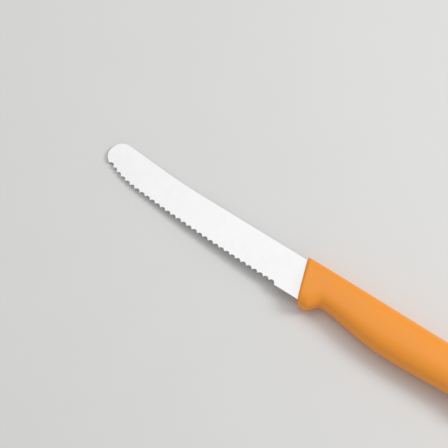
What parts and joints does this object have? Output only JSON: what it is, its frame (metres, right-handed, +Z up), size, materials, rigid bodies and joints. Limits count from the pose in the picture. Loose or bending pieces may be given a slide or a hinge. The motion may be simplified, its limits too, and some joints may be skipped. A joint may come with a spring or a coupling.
{
  "type": "tomato knife",
  "caption": "Serrated tomato knife with a rounded nose and a moulded orange plastic handle, lying on its side.",
  "frame": {"origin": "on the table, under the middle of the knife's box as it lies on its side", "axes": "+X from the nose to the butt, +Y from the edge to the spine, +Z up from the table"},
  "size_m": [0.2156, 0.0232, 0.0155],
  "materials": {
    "steel": "satin",
    "orange_plastic": "semi-gloss"
  },
  "bodies": {
    "root": {"blade": "steel", "handle": "orange_plastic"}
  },
  "joints": []
}
